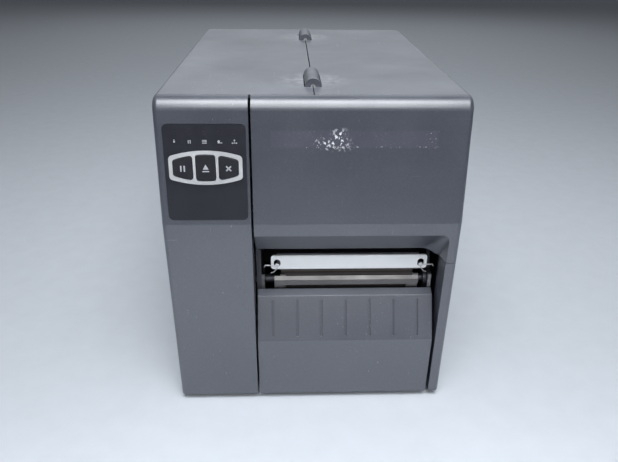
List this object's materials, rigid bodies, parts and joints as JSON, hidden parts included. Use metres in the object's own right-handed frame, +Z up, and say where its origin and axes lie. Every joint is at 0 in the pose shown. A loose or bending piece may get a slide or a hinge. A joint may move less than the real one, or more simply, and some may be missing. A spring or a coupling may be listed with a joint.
{
  "type": "thermal label printer",
  "caption": "Thermal transfer label printer with a folding media door, control keys, swinging print head, driven platen, ribbon spindles and label hanger.",
  "frame": {"origin": "under the middle of the body, on the plane of the rubber feet", "axes": "+Z up, +Y to the back, +X to the right of someone facing the control panel"},
  "size_m": [0.239, 0.432, 0.2864],
  "materials": {
    "housing": "fine-textured moulded plastic",
    "window": "smoked clear plastic",
    "overlay": "printed film",
    "ring": "printed grey",
    "keys": "moulded",
    "lenses": "tinted",
    "circuit": "solder mask",
    "hinge": "moulded",
    "steel": "bright",
    "cast": "cast",
    "pan": "black paint",
    "rubber": "matt",
    "white": "moulded",
    "ceramic": "glazed",
    "inner": "moulded"
  },
  "bodies": {
    "chassis": {"ac_inlet": "inner", "base_pan": "pan", "button_ring": "ring", "center_plate": "cast", "control_bezel": "housing", "control_board": "circuit", "cross_beam": "steel", "data_ports": "inner", "drive_belt": "rubber", "electronics_cover": "housing", "front_cover": "housing", "guide_rail": "steel", "head_pivot_shaft": "steel", "hinge_base_knuckles": "hinge", "hinge_pins": "steel", "indicator_lenses": "lenses", "inner_side_plate": "steel", "main_board": "circuit", "media_hanger": "inner", "media_sensor": "inner", "panel_overlay": "overlay", "platen_bearing": "steel", "power_supply": "steel", "print_side_plate": "steel", "rear_cover": "housing", "rear_panel": "housing", "rubber_feet": "rubber", "side_skirt": "housing", "stepper_motor": "inner", "tear_bar": "steel"},
    "door": {"door_front": "housing", "door_top": "housing", "hinge_door_knuckles": "hinge", "fold_pin": "steel"},
    "side_leaf": {"door_side": "housing", "door_window": "window"},
    "pause_key": {"button_pause": "keys"},
    "feed_key": {"button_feed": "keys"},
    "cancel_key": {"button_cancel": "keys"},
    "rocker": {"power_rocker": "keys"},
    "platen": {"platen_shaft": "steel", "platen_rubber": "rubber", "platen_pulley": "cast"},
    "motor_rotor": {"motor_shaft": "steel", "motor_pulley": "cast"},
    "print_head": {"head_carriage": "cast", "print_head_strip": "ceramic", "head_heatsink": "cast", "head_front_plate": "white", "head_plate_screws": "steel", "head_wires": "steel"},
    "lever": {"lever_shaft": "steel", "pressure_toggles": "inner", "head_lever": "inner"},
    "takeup": {"ribbon_takeup_spindle": "inner"},
    "supply": {"ribbon_supply_spindle": "inner"},
    "roll_guide": {"media_guide": "inner"},
    "label_guide": {"edge_guide": "inner"},
    "dancer": {"dancer_arm": "inner"},
    "dancer_tube": {"dancer_roller": "inner"}
  },
  "joints": [
    {"name": "door_lift", "type": "hinge", "parent": "chassis", "child": "door", "pos_m": [0, 0, 0.28], "axis": [0, -1, 0], "range_deg": [0, 100]},
    {"name": "side_fold", "type": "hinge", "parent": "door", "child": "side_leaf", "pos_m": [0.1141, 0, 0.2706], "axis": [0, -1, 0], "range_deg": [-80, 0]},
    {"name": "pause_press", "type": "slide", "parent": "chassis", "child": "pause_key", "axis": [0, 0.9924, -0.1231], "range_m": [0, 0.0008], "stiffness_N_per_m": 300},
    {"name": "feed_press", "type": "slide", "parent": "chassis", "child": "feed_key", "axis": [0, 0.9924, -0.1231], "range_m": [0, 0.0008], "stiffness_N_per_m": 300},
    {"name": "cancel_press", "type": "slide", "parent": "chassis", "child": "cancel_key", "axis": [0, 0.9924, -0.1231], "range_m": [0, 0.0008], "stiffness_N_per_m": 300},
    {"name": "power_rock", "type": "hinge", "parent": "chassis", "child": "rocker", "pos_m": [-0.092, 0.207, 0.082], "axis": [1, 0, 0], "range_deg": [0, 12]},
    {"name": "platen_spin", "type": "hinge", "parent": "chassis", "child": "platen", "pos_m": [0, -0.178, 0.108], "axis": [1, 0, 0], "continuous": true},
    {"name": "motor_spin", "type": "hinge", "parent": "chassis", "child": "motor_rotor", "pos_m": [0, -0.12, 0.062], "axis": [1, 0, 0], "continuous": true},
    {"name": "head_lever_turn", "type": "hinge", "parent": "chassis", "child": "lever", "pos_m": [0, -0.144, 0.168], "axis": [-1, 0, 0], "range_deg": [0, 60]},
    {"name": "head_lift", "type": "hinge", "parent": "chassis", "child": "print_head", "pos_m": [0, -0.104, 0.143], "axis": [-1, 0, 0], "range_deg": [0, 8]},
    {"name": "takeup_spin", "type": "hinge", "parent": "chassis", "child": "takeup", "pos_m": [0, -0.088, 0.222], "axis": [1, 0, 0], "continuous": true},
    {"name": "supply_spin", "type": "hinge", "parent": "chassis", "child": "supply", "pos_m": [0, 0.002, 0.226], "axis": [1, 0, 0], "continuous": true},
    {"name": "roll_guide_slide", "type": "slide", "parent": "chassis", "child": "roll_guide", "axis": [1, 0, 0], "range_m": [-0.06, 0.012]},
    {"name": "label_guide_slide", "type": "slide", "parent": "chassis", "child": "label_guide", "axis": [1, 0, 0], "range_m": [-0.06, 0.03]},
    {"name": "dancer_swing", "type": "hinge", "parent": "chassis", "child": "dancer", "pos_m": [0, -0.02, 0.092], "axis": [1, 0, 0], "range_deg": [-20, 20]},
    {"name": "dancer_tube_spin", "type": "hinge", "parent": "dancer", "child": "dancer_tube", "pos_m": [0, -0.056, 0.092], "axis": [1, 0, 0], "continuous": true}
  ],
  "couplings": [
    {"joint": "side_fold", "follows": "door_lift", "ratio": -0.8},
    {"joint": "motor_spin", "follows": "platen_spin", "ratio": 1.875},
    {"joint": "head_lift", "follows": "head_lever_turn", "ratio": 0.13333}
  ]
}
